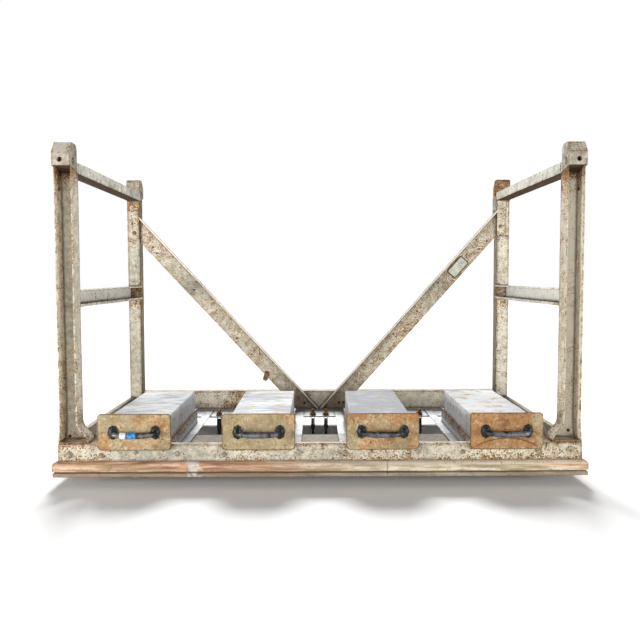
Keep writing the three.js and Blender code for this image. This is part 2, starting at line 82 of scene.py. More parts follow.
class Graph:
    """A material's node tree, built by short calls that each return a socket."""

    def __init__(self, name):
        self.material = bpy.data.materials.new(name)
        self.material.use_nodes = True
        self.tree = self.material.node_tree
        self.tree.nodes.clear()
        self.place = self.tree.nodes.new("ShaderNodeTexCoord").outputs["Object"]
        self.normal = None

    def put(self, value, socket):
        if isinstance(value, bpy.types.NodeSocket):
            self.tree.links.new(value, socket)
        elif value is not None:
            socket.default_value = value

    def noise(self, scale, detail=4, rough=0.55, shift=0.0, stretch=(1, 1, 1), twist=0.0):
        """Cloudy noise of about 0 to 1, scale cells a metre."""
        move = self.tree.nodes.new("ShaderNodeMapping")
        move.inputs["Location"].default_value = (shift, shift * 0.7, shift * 1.3)
        move.inputs["Scale"].default_value = stretch
        self.put(self.place, move.inputs["Vector"])
        made = self.tree.nodes.new("ShaderNodeTexNoise")
        self.put(move.outputs["Vector"], made.inputs["Vector"])
        for key, value in (("Scale", scale), ("Detail", detail), ("Roughness", rough), ("Distortion", twist)):
            made.inputs[key].default_value = value
        return made.outputs["Fac"]

    def cells(self, scale, shift=0.0):
        """Distance to the nearest of scattered points, scale cells a metre, as a share of a cell."""
        move = self.tree.nodes.new("ShaderNodeMapping")
        move.inputs["Location"].default_value = (shift, shift, shift)
        self.put(self.place, move.inputs["Vector"])
        made = self.tree.nodes.new("ShaderNodeTexVoronoi")
        self.put(move.outputs["Vector"], made.inputs["Vector"])
        made.inputs["Scale"].default_value = scale
        return made.outputs["Distance"]

    def stored(self, name):
        made = self.tree.nodes.new("ShaderNodeAttribute")
        made.attribute_name = name
        return made.outputs["Fac"]

    def axis(self, index):
        made = self.tree.nodes.new("ShaderNodeSeparateXYZ")
        self.put(self.place, made.inputs[0])
        return made.outputs[index]

    def maths(self, operation, first, second=None, clamp=False):
        made = self.tree.nodes.new("ShaderNodeMath")
        made.operation = operation
        made.use_clamp = clamp
        self.put(first, made.inputs[0])
        self.put(second, made.inputs[1])
        return made.outputs[0]

    def total(self, *terms):
        """The sum of (socket, weight) pairs and plain numbers."""
        result = None
        for term in terms:
            value = self.maths("MULTIPLY", *term) if isinstance(term, tuple) else term
            result = value if result is None else self.maths("ADD", result, value)
        return result

    def step(self, value, low, high, top=1.0):
        """0 below low, top above high, smooth between; falling where low is more than high."""
        made = self.tree.nodes.new("ShaderNodeMapRange")
        made.interpolation_type = "SMOOTHSTEP"
        self.put(value, made.inputs["Value"])
        start, end = (low, high) if low < high else (high, low)
        made.inputs["From Min"].default_value = start
        made.inputs["From Max"].default_value = end
        made.inputs["To Min"].default_value = 0.0 if low < high else top
        made.inputs["To Max"].default_value = top if low < high else 0.0
        return made.outputs["Result"]

    def mix(self, amount, first, second, mode="MIX"):
        made = self.tree.nodes.new("ShaderNodeMix")
        made.data_type = "RGBA"
        made.blend_type = mode
        self.put(amount, made.inputs["Factor"])
        for key, value in (("A", first), ("B", second)):
            socket = [s for s in made.inputs if s.name == key and s.type == "RGBA"][0]
            self.put(value, socket)
        return [s for s in made.outputs if s.type == "RGBA"][0]

    def ramp(self, value, *stops):
        """A colour for value; stops are (position, colour)."""
        made = self.tree.nodes.new("ShaderNodeValToRGB")
        elements = made.color_ramp.elements
        while len(elements) < len(stops):
            elements.new(0.5)
        for element, (position, colour) in zip(elements, stops):
            element.position = position
            element.color = colour
        self.put(value, made.inputs["Fac"])
        return made.outputs["Color"]

    def relief(self, height, distance, strength=1.0):
        made = self.tree.nodes.new("ShaderNodeBump")
        made.inputs["Distance"].default_value = distance
        made.inputs["Strength"].default_value = strength
        self.put(height, made.inputs["Height"])
        self.put(self.normal, made.inputs["Normal"])
        self.normal = made.outputs["Normal"]

    def surface(self, colour, rough, metal=0.0, specular=0.5, coat=0.0):
        shader = self.tree.nodes.new("ShaderNodeBsdfPrincipled")
        self.put(colour, shader.inputs["Base Color"])
        self.put(rough, shader.inputs["Roughness"])
        self.put(metal, shader.inputs["Metallic"])
        self.put(specular, shader.inputs["Specular IOR Level"])
        shader.inputs["Coat Weight"].default_value = coat
        self.put(self.normal, shader.inputs["Normal"])
        output = self.tree.nodes.new("ShaderNodeOutputMaterial")
        self.put(shader.outputs["BSDF"], output.inputs["Surface"])
        return self.material


# ---- Finishes ----
RUSTS = (linear(58, 42, 32), linear(108, 78, 50), linear(156, 116, 72), linear(190, 158, 112))
# Painted shade with some dirt: a brown laid in nooks and where other parts come near, where shade falls.
NOOK_SHADE_DIRT = linear(78, 66, 54)
# Painted shade with some grime: a dark brown laid on undersides, under the heads and on the rear posts' sides, where
# shade falls.
SHADE_GRIME = linear(62, 48, 38)


def rust_colour(graph, shift, dark=0.0):
    """Mottled iron oxide, from near black brown to pale ochre."""
    mottle = graph.total((graph.noise(90, 6, 0.65, shift), 0.6), (graph.noise(380, 3, 0.6, shift + 5), 0.4), -dark)
    stops = zip((0.38, 0.46, 0.53, 0.62), RUSTS)
    return graph.ramp(mottle, *stops)


def flaking(name, tints, cover, shift, speck=1.0, stain=(178, 148, 100), gloss=0.7, cast=0.0, nook_shade_and_dirt=0.65):
    """Old paint in three tints that flakes to rust, most at edges and nooks. cover moves the share of rust."""
    graph = Graph(name)
    broad = graph.noise(5, 3, 0.5, shift)
    cluster = graph.noise(36, 5, 0.6, shift + 1, twist=0.4)
    fleck = graph.noise(210, 5, 0.62, shift + 2)
    grain = graph.noise(420, 3, 0.6, shift + 6)
    near_edge = graph.step(graph.stored("edge_mm"), 4.0, 0.0)
    near_nook = graph.step(graph.stored("nook_mm"), 9, 0.0)
    rust = graph.stored("rust")
    tone = graph.stored("tone")
    bare = graph.total((fleck, 0.6), (cluster, 0.25), (broad, 0.15), (near_edge, 0.06), (near_nook, 0.03),
                       (rust, 0.12), cover)
    stained = graph.step(bare, 0.50, 0.60)
    chips = graph.step(bare, 0.56, 0.585)
    pits = graph.maths("MULTIPLY", graph.step(graph.cells(210, shift), 0.3, 0.18),
                       graph.step(graph.total((cluster, 1.0), (rust, 0.1)), 0.46, 0.56))
    low, middle, high = (linear(*tint) for tint in tints)
    # The stored tone moves the tint: partly the paint's own tone, mostly painted light.
    shade = graph.total((graph.noise(60, 5, 0.6, shift + 4), 0.4), (grain, 0.3), (broad, 0.3), (tone, 0.1))
    colour = graph.ramp(shade, (0.4, low), (0.5, middle), (0.6, high))
    colour = graph.mix(graph.maths("MULTIPLY", stained, 0.6), colour, linear(*stain))
    # Painted shade with some dirt, darker towards nooks and where other parts come near.
    colour = graph.mix(graph.step(near_nook, 0.1, 1.0, nook_shade_and_dirt), colour, NOOK_SHADE_DIRT)
    colour = graph.mix(chips, colour, rust_colour(graph, shift))
    colour = graph.mix(graph.maths("MULTIPLY", pits, 0.85 * speck), colour, RUSTS[0])
    # Painted shade with some grime, mostly on undersides, mixed in where it is stored; those places also shine less.
    colour = graph.mix(graph.stored("grime"), colour, SHADE_GRIME)
    height = graph.total((chips, -0.5), (pits, -0.8), (grain, 0.4 + cast), (cluster, 0.3))
    graph.relief(height, 0.0007, 0.8)
    rough = graph.total((chips, 0.25), gloss)
    specular = graph.maths("SUBTRACT", 0.12, graph.stored("grime"), clamp=True)
    return graph.surface(colour, rough, 0.0, specular)


FRAME_TINTS = ((150, 147, 133), (192, 186, 169), (220, 214, 197))
HEAD_TINTS = ((116, 110, 98), (160, 153, 138), (212, 204, 188))


def strip_finish(name, along):
    """A rubbed metal strip, coppery at one end and cream at the other, with long streaks."""
    graph = Graph(name)
    stretch = tuple(0.1 if i == along else 1 for i in range(3))
    streak = graph.noise(110, 5, 0.6, 3, stretch)
    fleck = graph.noise(70, 6, 0.65, 5, twist=0.4)
    fine = graph.noise(300, 3, 0.6, 6)
    height = graph.axis(2)
    near_edge = graph.step(graph.stored("edge_mm"), 3.0, 0.0)
    end = graph.step(graph.axis(0), -0.45, 0.5)
    copper = graph.ramp(streak, (0.38, linear(128, 92, 74)), (0.5, linear(186, 140, 108)),
                        (0.62, linear(222, 188, 160)))
    cream = graph.ramp(streak, (0.38, linear(160, 142, 108)), (0.5, linear(204, 190, 160)),
                       (0.62, linear(234, 224, 204)))
    blend = graph.total((end, 0.8), (fleck, 0.8), -0.3)
    colour = graph.mix(graph.step(blend, 0.15, 0.8), copper, cream)
    olive = graph.step(graph.noise(14, 4, 0.6, 9, stretch), 0.47, 0.62, 0.6)
    colour = graph.mix(olive, colour, linear(150, 136, 104))
    orange = graph.step(graph.noise(10, 4, 0.6, 12, stretch), 0.5, 0.64, 0.6)
    colour = graph.mix(orange, colour, linear(190, 120, 66))
    # Painted highlight: a pale band along the top fillet, towards the cream end.
    fillet_highlight = graph.step(graph.total((height, 1.0), (fine, 0.002)), 0.0635, 0.0665, 0.6)
    colour = graph.mix(graph.maths("MULTIPLY", fillet_highlight, end), colour, linear(226, 212, 194))
    low = graph.step(height, 0.043, 0.041, 0.7)
    colour = graph.mix(low, colour, linear(122, 112, 94))
    dark = graph.step(graph.total((fleck, 0.5), (fine, 0.5), (near_edge, 0.04)), 0.55, 0.61)
    colour = graph.mix(graph.maths("MULTIPLY", dark, 0.75), colour, rust_colour(graph, 8))
    scuff_at = graph.maths("ABSOLUTE", graph.maths("ADD", graph.axis(0), 0.367))
    scuff = graph.step(graph.total((scuff_at, 1.0), (fleck, 0.12)), 0.082, 0.066, 0.6)
    colour = graph.mix(scuff, colour, linear(214, 216, 220))
    joint_at = graph.maths("ABSOLUTE", graph.maths("SUBTRACT", graph.axis(0), 0.1917))
    joint = graph.step(joint_at, 0.0016, 0.0008)
    colour = graph.mix(graph.maths("MULTIPLY", joint, 0.6), colour, linear(62, 46, 34))
    # Painted shade with some dirt, darker in nooks and where other parts come near.
    nook = graph.step(graph.stored("nook_mm"), 3.0, 0.5, 0.8)
    colour = graph.mix(nook, colour, linear(62, 46, 36))
    graph.relief(graph.total((streak, 0.6), (fine, 0.4), (dark, -0.6), (joint, -1.0)), 0.0008, 0.8)
    return graph.surface(colour, graph.total((dark, 0.3), 0.5), 0.1, 0.45)


def panel_finish():
    """Tan paint gone over to ochre rust, with a rubbed arc under one handle."""
    graph = Graph("panel_rust")
    low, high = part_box("box_4_panel")
    broad = graph.noise(9, 3, 0.5, 11)
    patch = graph.noise(40, 6, 0.64, 12, twist=0.5)
    fleck = graph.noise(150, 5, 0.62, 16)
    grain = graph.noise(420, 3, 0.6, 13)
    rust = graph.stored("rust")
    near_edge = graph.step(graph.stored("edge_mm"), 3.2, 0.6)
    shade = graph.total((patch, 0.4), (grain, 0.35), (broad, 0.25), (graph.stored("tone"), 0.1))
    tan = graph.ramp(shade, (0.40, linear(124, 110, 82)), (0.5, linear(162, 146, 110)),
                     (0.6, linear(194, 180, 146)))
    orange = graph.ramp(shade, (0.40, linear(118, 82, 48)), (0.5, linear(166, 122, 76)),
                        (0.6, linear(200, 158, 112)))
    over = graph.total((graph.noise(18, 6, 0.62, 14, twist=0.6), 0.7), (fleck, 0.3), (rust, 0.22))
    colour = graph.mix(graph.step(over, 0.53, 0.66), tan, orange)
    chips = graph.step(graph.total((fleck, 0.55), (patch, 0.45), (near_edge, 0.03), (rust, 0.02)), 0.55, 0.59)
    colour = graph.mix(graph.maths("MULTIPLY", chips, 0.85), colour, rust_colour(graph, 15))
    pale = graph.step(graph.noise(60, 6, 0.65, 18), 0.58, 0.66, 0.5)
    colour = graph.mix(pale, colour, linear(214, 204, 182))
    colour = graph.mix(graph.maths("MULTIPLY", near_edge, 0.75), colour, linear(84, 62, 42))
    # The arc is a circle's edge, faded out past its ends.
    centre_x = (low.x + high.x) / 2
    across = graph.maths("SUBTRACT", graph.axis(0), centre_x)
    up = graph.maths("SUBTRACT", graph.axis(2), low.z - 0.152)
    radius = graph.maths("SQRT", graph.total((across, across), (up, up)))
    off = graph.total((graph.maths("ABSOLUTE", graph.maths("SUBTRACT", radius, 0.1835)), 1.0),
                      (grain, 0.0012))
    arc = graph.maths("MULTIPLY", graph.step(off, 0.0028, 0.0012),
                      graph.step(graph.maths("ABSOLUTE", across), 0.094, 0.084))
    colour = graph.mix(graph.maths("MULTIPLY", arc, 0.8), colour, linear(84, 44, 22))
    graph.relief(graph.total((chips, -0.5), (grain, 0.35), (patch, 0.4), (arc, -1.0)), 0.0008, 0.8)
    return graph.surface(colour, graph.total((chips, 0.15), 0.68), 0.0, 0.3)


def box_finish():
    """Pale bluish paint on sheet steel, stained tan and rusty along its edges."""
    graph = Graph("box_sheet")
    broad = graph.noise(8, 4, 0.55, 21)
    brushed = graph.noise(70, 5, 0.6, 22, (0.3, 1, 1))
    grain = graph.noise(360, 3, 0.6, 23)
    rust = graph.stored("rust")
    edge = graph.stored("edge_mm")
    # The stored tone is mostly painted light: paler sides, and each top set lighter or darker.
    shade = graph.total((brushed, 0.45), (grain, 0.2), (broad, 0.35), (graph.stored("tone"), 0.1))
    colour = graph.ramp(shade, (0.4, linear(150, 153, 160)), (0.5, linear(184, 187, 193)),
                        (0.62, linear(234, 236, 238)))
    cloud = graph.noise(20, 6, 0.64, 24, twist=0.4)
    stain = graph.total((cloud, 0.75), (grain, 0.25), (graph.step(edge, 18, 0.0), 0.05), (rust, 0.12))
    colour = graph.mix(graph.step(stain, 0.52, 0.66, 0.7), colour, linear(196, 170, 124))
    near_edge = graph.step(graph.total((edge, 1.0), (cloud, 12.0)), 12.5, 7.0)
    chips = graph.step(graph.total((stain, 1.0), (near_edge, 0.15)), 0.63, 0.665)
    colour = graph.mix(graph.maths("MULTIPLY", chips, 0.9), colour, rust_colour(graph, 25))
    pits = graph.maths("MULTIPLY", graph.step(graph.cells(90, 4), 0.16, 0.08),
                       graph.step(graph.noise(20, 3, 0.5, 26), 0.52, 0.6))
    colour = graph.mix(graph.maths("MULTIPLY", pits, 0.8), colour, RUSTS[1])
    # Painted shade with some grime, mixed in where it is stored.
    colour = graph.mix(graph.stored("grime"), colour, SHADE_GRIME)
    graph.relief(graph.total((chips, -0.5), (brushed, 0.4), (grain, 0.2), (pits, -0.6)), 0.0006, 0.7)
    return graph.surface(colour, graph.total((chips, 0.2), (brushed, 0.2), 0.64), 0.0, 0.08)


def iron_finish(name, dark, light, worn, shift, metal=0.35):
    """Black cast iron or painted steel, rubbed grey where it is handled; on the handles the grey is also a painted
    highlight.
    """
    graph = Graph(name)
    cloud = graph.noise(60, 6, 0.62, shift, twist=0.3)
    grain = graph.noise(420, 4, 0.65, shift + 1)
    rubbed = graph.step(graph.total((cloud, 0.6), (grain, 0.4), (graph.stored("rust"), 0.16)), 0.54, 0.68, worn)
    colour = graph.mix(rubbed, linear(*dark), linear(*light))
    graph.relief(graph.total((grain, 0.7), (cloud, 0.5)), 0.0006, 0.8)
    return graph.surface(colour, graph.total((grain, 0.3), 0.3), metal, 0.5)


def rusty_finish(name, shift, dark):
    """Fasteners and weld beads that are rust all over."""
    graph = Graph(name)
    grain = graph.noise(420, 4, 0.62, shift)
    colour = rust_colour(graph, shift, dark)
    graph.relief(graph.total((grain, 1.0), (graph.noise(120, 4, 0.6, shift + 1), 0.8)), 0.0006, 0.9)
    return graph.surface(colour, 0.82, 0.1, 0.3)


def rubber_finish():
    graph = Graph("castor_tyre")
    grain = graph.noise(500, 4, 0.6, 41)
    dust = graph.noise(50, 5, 0.6, 42)
    colour = graph.ramp(dust, (0.42, linear(22, 22, 23)), (0.7, linear(64, 60, 55)))
    graph.relief(grain, 0.0004, 0.7)
    return graph.surface(colour, graph.total((dust, 0.2), 0.68), 0.0, 0.3)


def tape_finish(name, first, second, shift):
    graph = Graph(name)
    cloud = graph.noise(130, 5, 0.6, shift)
    wrinkle = graph.noise(180, 3, 0.5, shift + 1, (3, 1, 1))
    colour = graph.ramp(cloud, (0.42, linear(*first)), (0.62, linear(*second)))
    graph.relief(wrinkle, 0.0012, 0.8)
    return graph.surface(colour, graph.total((cloud, 0.3), 0.35), 0.0, 0.5)


def floor_finish():
    graph = Graph("floor")
    cloud = graph.noise(3, 3, 0.5, 51)
    colour = graph.ramp(cloud, (0.3, linear(254, 254, 254)), (0.7, linear(255, 255, 255)))
    return graph.surface(colour, 0.85, 0.0, 0.1)


FINISHES = {
    "frame_paint": flaking("frame_paint", FRAME_TINTS, 0.0, 1.0),
    "head_paint": flaking("head_paint", HEAD_TINTS, -0.04, 61.0, speck=1.0, cast=0.4),
    "rub_strip": strip_finish("rub_strip", 0),
    "rub_strip_side": strip_finish("rub_strip_side", 1),
    "panel_rust": panel_finish(),
    "box_sheet": box_finish(),
    "rail_sheet": flaking("rail_sheet", ((150, 154, 158), (184, 188, 192), (208, 212, 216)), -0.03, 71.0,
                          speck=0.5, gloss=0.5),
    "rail_lip": flaking("rail_lip", ((126, 108, 84), (158, 140, 110), (190, 176, 150)), 0.02, 75.0),
    "rail_paint": flaking("rail_paint", ((150, 150, 142), (204, 202, 190), (240, 238, 228)), -0.01, 73.0,
                          nook_shade_and_dirt=0.25),
    # A darker brown-grey for the front castor plate: dirt, and painted shade for the shade it lies in under the
    # boxes.
    "plate_shade_and_dirt": flaking("plate_shade_and_dirt", ((104, 96, 84), (134, 126, 112), (160, 152, 138)), 0.0, 78.0),
    "handle_iron": iron_finish("handle_iron", (20, 20, 23), (124, 122, 126), 0.8, 31.0),
    "castor_steel": iron_finish("castor_steel", (16, 16, 17), (58, 56, 54), 0.6, 35.0),
    "castor_tyre": rubber_finish(),
    "bolt_paint": flaking("bolt_paint", ((128, 122, 106), (160, 154, 136), (190, 184, 166)), 0.0, 83.0),
    "screw_iron": iron_finish("screw_iron", (38, 38, 42), (150, 152, 160), 0.9, 33.0, 0.6),
    "bolt_rust": rusty_finish("bolt_rust", 81.0, 0.1),
    "stud_rust": rusty_finish("stud_rust", 85.0, 0.03),
    "plate_grey": flaking("plate_grey", ((160, 164, 148), (190, 193, 176), (210, 212, 196)), -0.04, 91.0),
    "tape_white": tape_finish("tape_white", (196, 196, 200), (244, 244, 246), 95.0),
    "tape_blue": tape_finish("tape_blue", (26, 96, 160), (70, 160, 216), 97.0),
}


# ---- Refining the frame's sheet metal ----
def sharp_lines(mesh, convex):
    """End points of the edges where two faces meet at more than SHARP, convex ones or the others."""
    return [
        (np.array(edge.verts[0].co), np.array(edge.verts[1].co))
        for edge in mesh.edges
        if len(edge.link_faces) == 2 and edge.calc_face_angle(0) > SHARP and edge.is_convex == convex
    ]


def distance_to(points, lines):
    """How far each point is from the nearest line, in millimetres, up to REACH_MM."""
    nearest = np.full(len(points), REACH_MM * MM)
    for start, end in lines:
        along = end - start
        share = np.clip(((points - start) @ along) / max(along @ along, 1e-12), 0, 1)
        nearest = np.minimum(nearest, np.linalg.norm(points - start - share[:, None] * along, axis=1))
    return nearest / MM


def from_node(node):
    """A node's mesh as a bmesh with shared points and whole flat faces."""
    mesh = bmesh.new()
    mesh.from_mesh(frame["nodes"][node].data)
    bmesh.ops.remove_doubles(mesh, verts=mesh.verts, dist=1e-6)
    bmesh.ops.dissolve_limit(mesh, angle_limit=math.radians(0.5), verts=mesh.verts, edges=mesh.edges)
    return mesh


TREES = {}


def surface_tree(node):
    if node not in TREES:
        mesh = bmesh.new()
        mesh.from_mesh(frame["nodes"][node].data)
        TREES[node] = (BVHTree.FromBMesh(mesh), *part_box(node))
        mesh.free()
    return TREES[node]


def distance_to_neighbours(node, points):
    """How far each point is from the nearest other node, in millimetres, up to REACH_MM."""
    reach = REACH_MM * MM
    low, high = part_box(node)
    nearest = np.full(len(points), reach)
    for other in frame["nodes"]:
        if other == node:
            continue
        tree, other_low, other_high = surface_tree(other)
        if any(low[i] > other_high[i] + reach or high[i] < other_low[i] - reach for i in range(3)):
            continue
        inside = np.all((points > np.array(other_low) - reach) & (points < np.array(other_high) + reach), axis=1)
        for i in np.flatnonzero(inside):
            found = tree.find_nearest(points[i], reach)[3]
            if found is not None and found < nearest[i]:
                nearest[i] = found
    return nearest / MM


def slice_grid(mesh, spacing, extra=()):
    """Cuts a mesh by planes square to each axis, and by extra (axis, place) planes."""
    low = [min(v.co[i] for v in mesh.verts) for i in range(3)]
    high = [max(v.co[i] for v in mesh.verts) for i in range(3)]
    planes = list(extra)
    for i in range(3):
        count = int((high[i] - low[i]) / spacing)
        planes += [(i, low[i] + (k + 0.5) * (high[i] - low[i]) / max(count, 1)) for k in range(count)]
    for i, place in planes:
        point, normal = Vector((0, 0, 0)), Vector((0, 0, 0))
        point[i], normal[i] = place, 1.0
        every = mesh.verts[:] + mesh.edges[:] + mesh.faces[:]
        bmesh.ops.bisect_plane(mesh, geom=every, dist=1e-6, plane_co=point, plane_no=normal)
    crowded = [face for face in mesh.faces if len(face.verts) > 4]
    bmesh.ops.triangulate(mesh, faces=crowded)


def warped(point, sway, ripple):
    """A point moved by the slow sway that the whole frame shares, and by a piece's finer ripple."""
    slow = noise.noise_vector(point * 3.0) * sway
    if ripple:
        slow += noise.noise_vector(point * 28.0 + Vector((7, 3, 5))) * ripple
    return point + slow


def store(mesh, name, values, domain="POINT"):
    made = mesh.attributes.new(name, "FLOAT", domain)
    made.data.foreach_set("value", np.asarray(values, np.float32))


def show(name, mesh, body, finish, normals=True):
    """Makes a piece from a bmesh, smooth with weighted normals, riding on a body."""
    data = bpy.data.meshes.new(name)
    mesh.to_mesh(data)
    mesh.free()
    data.materials.append(FINISHES[finish])
    data.shade_smooth()
    piece = bpy.data.objects.new(name, data)
    bpy.context.scene.collection.objects.link(piece)
    if normals:
        weigh = piece.modifiers.new("normals", "WEIGHTED_NORMAL")
        weigh.weight = 80
    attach(piece, body)
    return piece


def bump(values, middle, width):
    return np.exp(-(((values - middle) / width) ** 2))


def weathering_and_painted_light(node, points, normals):
    """Rust (0 to 1); a paleness (-1 to 1) that is partly the paint's own tone and mostly painted light, made paler
    on faces the lamps reach little and darker on some others; and painted shade with some grime (0 to 1), mostly on
    undersides: where a node has more than its finish gives it.
    """
    rust, tone, grime = np.zeros((3, len(points)))
    x, y, z = points.T
    across = np.abs(normals[:, 0]) > 0.6
    facing = normals[:, 1] < -0.6
    below = normals[:, 2] < -0.6
    left = "left" in node
    if node.startswith("post_front"):
        outer = across & (np.abs(x) > 0.745)
        web = facing & (y > FRONT + 0.03)
        inner = across & (np.abs(x) < 0.73)
        # Painted light: paler flange faces, and a paler right web than left, for light that falls unevenly on the
        # posts.
        tone += np.where(outer, 1.9 if left else 1.6, 0.0)
        rust += np.where(outer, 0.3 if left else 0.15, 0.0) + np.where(inner, 0.1 if left else 0.35, 0.0)
        rust += 0.5 * bump(z, 0.90, 0.04) - np.where(web, 0.1, 0.0)
        tone += np.where(inner, 0.5, 0.0) - np.where(web, 0.2 if left else -1.6, 0.0)
        # Painted shade just under the head.
        grime += 0.5 * bump(z, 0.915, 0.02)
    if node.startswith("post_rear"):
        rust += 0.1 + 0.6 * bump(z, 0.53, 0.04) + 0.5 * bump(z, 0.89, 0.03)
        # Painted light: front faces paler on the right post, the other faces darker.
        tone += np.where(facing, -0.1 if left else 0.8, -0.5)
        # Painted shade on the sides.
        grime += np.where(across, 0.35, 0.0)
    if node == "base_rear_member":
        # Painted light: the front face made paler, most on the left, as it lies in shade.
        tone += np.where(facing, np.where(x < 0, 1.8, 0.8), 0.0)
        rust += 0.6 * bump(x, -0.33, 0.07) + 0.1
    if node == "base_front_member":
        rust += 0.3 * bump(x, 0.12, 0.2) + 0.35 * bump(x, 0.68, 0.12) + 0.2 * bump(z, 0.08, 0.012)
        tone += 0.25 - 0.6 * bump(x, -0.6, 0.4)
    if node.startswith("brace"):
        # Painted highlight: the front edge of the upper flange made pale and free of rust.
        lip = facing & (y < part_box(node)[0].y + 0.002)
        rust += np.where(lip, -0.9, 0.3)
        tone += np.where(lip, 3.0, 0.2 if left else -0.1)
        # Painted shade on the undersides of the flange.
        grime += np.where(below, 0.94, 0.0)
    if node.startswith("top_rail"):
        rust += np.where(below, 0.3, -0.1)
        # Painted shade with some grime on the undersides, which also get more rust.
        grime += np.where(below, 0.95, 0.0)
    if node.startswith("mid_rail"):
        # Painted light: the whole rail made paler, the web inside the channel most, as it lies in shade.
        tone += np.where(across & (np.abs(x) > 0.72), 2.5, 1.0)
        rust += np.where(below, 0.3, -0.1)
        # Painted shade with some grime on the undersides, which also get more rust.
        grime += np.where(below, 0.92, 0.0)
    if node.startswith("head"):
        rust += np.where(facing, 0.0, 0.1)
        # Painted shade on the undersides.
        grime += np.where(below, 0.94, 0.0)
    if node.startswith("head_rear"):
        rust += 0.3 if left else 1.3
    if node.startswith("head_front") and not left:
        rust += np.where(normals[:, 2] > 0.4, 0.8, 0.1)
    if node.startswith("head_front"):
        # Painted light: top faces paler, other faces darker on the left head and a little paler on the right.
        tone += np.where(normals[:, 2] > 0.4, 2.0, -0.5 if left else 0.2)
    if node.endswith("_panel"):
        middle_x = (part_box(node)[0].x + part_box(node)[1].x) / 2
        rust += {"1": 0.3, "2": 0.1, "3": 0.35, "4": 0.9}[node[4]]
        if node[4] == "3":
            rust += 0.5 * bump(z, 0.21, 0.02)
        if node[4] == "4":
            rust -= 0.7 / (1 + np.exp(-(x - middle_x - 0.075) / 0.008))
    if node.startswith("guide_rail"):
        # Painted light: upward faces and sides made paler.
        tone += np.where(normals[:, 2] > 0.6, 0.5, 0.0)
        rust += np.where(across & (z > 0.098), 0.78, 0.0)
        tone += np.where(across, 1.5, 0.0)
    if node.endswith(("_tray", "_cover")):
        # Painted light and shadow: sides paler, box 3's top darker as a painted shadow of the brace, box 4's top
        # paler.
        tone += np.where(across, 1.1, {"1": 0.8, "2": 0.3, "3": -1.0, "4": 1.6}[node[4]])
        rust += np.where(across, -0.1, {"1": 0.0, "2": 0.1, "3": 0.1, "4": 0.35}[node[4]])
    return rust, tone, np.clip(grime, 0, 0.95)


RIPPLES = {"rub_strip": 0.0007, "panel_rust": 0.0004, "box_sheet": 0.0005, "frame_paint": 0.0002}


def finish_of(node):
    if node in ("rub_strip_left", "rub_strip_right"):
        return "rub_strip_side"
    if node.startswith(("top_rail", "mid_rail")):
        return "rail_paint"
    return "plate_shade_and_dirt" if node == "castor_plate_front" else SLOTS[node]


def worn(node, edges):
    """The edges that wear: all but those along the joint of a box's tray and cover."""
    if not node.endswith(("_tray", "_cover")):
        return edges
    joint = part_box(f"box_{node[4]}_cover")[0].z
    return [edge for edge in edges if abs((edge[0][2] + edge[1][2]) / 2 - joint) > 0.003]


def refine(node, bevel=BEVEL, spacing=GRID):
    """A finer copy of a node, with rolled edges, that stands for it."""
    mesh = from_node(node)
    edges, nooks = sharp_lines(mesh, True), sharp_lines(mesh, False)
    sharp = [edge for edge in mesh.edges if len(edge.link_faces) == 2 and edge.calc_face_angle(0) > SHARP]
    bmesh.ops.bevel(mesh, geom=sharp, offset=bevel, offset_type="OFFSET", segments=2, profile=0.5,
                    affect="EDGES", clamp_overlap=True)
    slice_grid(mesh, spacing)
    points = np.array([v.co for v in mesh.verts])
    true = BODIES[node] != "frame" or node.startswith("guide") or "castor" in node
    ripple = 0.0 if node.endswith("_tray") else RIPPLES.get(SLOTS[node], 0.0)
    for vertex in mesh.verts:
        vertex.co = warped(vertex.co, 0.0 if true else WARP, ripple)
    piece = show(f"{node}_fine", mesh, BODIES[node], finish_of(node))
    data = piece.data
    store(data, "edge_mm", distance_to(points, worn(node, edges)))
    store(data, "nook_mm", np.minimum(distance_to(points, nooks), distance_to_neighbours(node, points)))
    corners = np.empty(len(data.loops), np.int32)
    data.loops.foreach_get("vertex_index", corners)
    sides = np.empty(len(data.polygons), np.int32)
    data.polygons.foreach_get("loop_total", sides)
    normals = np.array([polygon.normal for polygon in data.polygons])
    weather = weathering_and_painted_light(node, points[corners], np.repeat(normals, sides, axis=0))
    for name, values in zip(("rust", "tone", "grime"), weather):
        store(data, name, values, "CORNER")
    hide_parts(node)
    return piece


for node in frame["nodes"]:
    if not node.endswith(("_handle", "_wheel")):
        refine(node)


# ---- Turned and swept pieces ----
def frame_along(direction):
    """A rotation whose Z axis points along direction."""
    return Vector(direction).to_track_quat("Z", "Y").to_matrix().to_4x4()


def turned(mesh, profile, place, direction, sides=32, lobes=0, lobe_depth=0.0, squash=(1, 1)):
    """Adds a turned solid: profile is (radius, height) from the rim to the axis, closed below."""
    turn = Matrix.Translation(place) @ frame_along(direction)
    rings = []
    for radius, height in profile:
        ring = []
        for k in range(sides if radius > 0 else 1):
            angle = 2 * math.pi * k / sides
            reach = radius * (1 + lobe_depth * math.cos(lobes * angle))
            spot = Vector((reach * math.cos(angle) * squash[0], reach * math.sin(angle) * squash[1], height))
            ring.append(mesh.verts.new(turn @ spot))
        rings.append(ring)
    for low, high in zip(rings, rings[1:]):
        for k in range(sides):
            after = (k + 1) % sides
            corners = [low[k % len(low)], low[after % len(low)], high[after % len(high)], high[k % len(high)]]
            unique = list(dict.fromkeys(corners))
            if len(unique) > 2:
                mesh.faces.new(unique)
    for ring, flip in ((rings[0], True), (rings[-1], False)):
        if len(ring) > 2:
            mesh.faces.new(ring[::-1] if flip else ring)


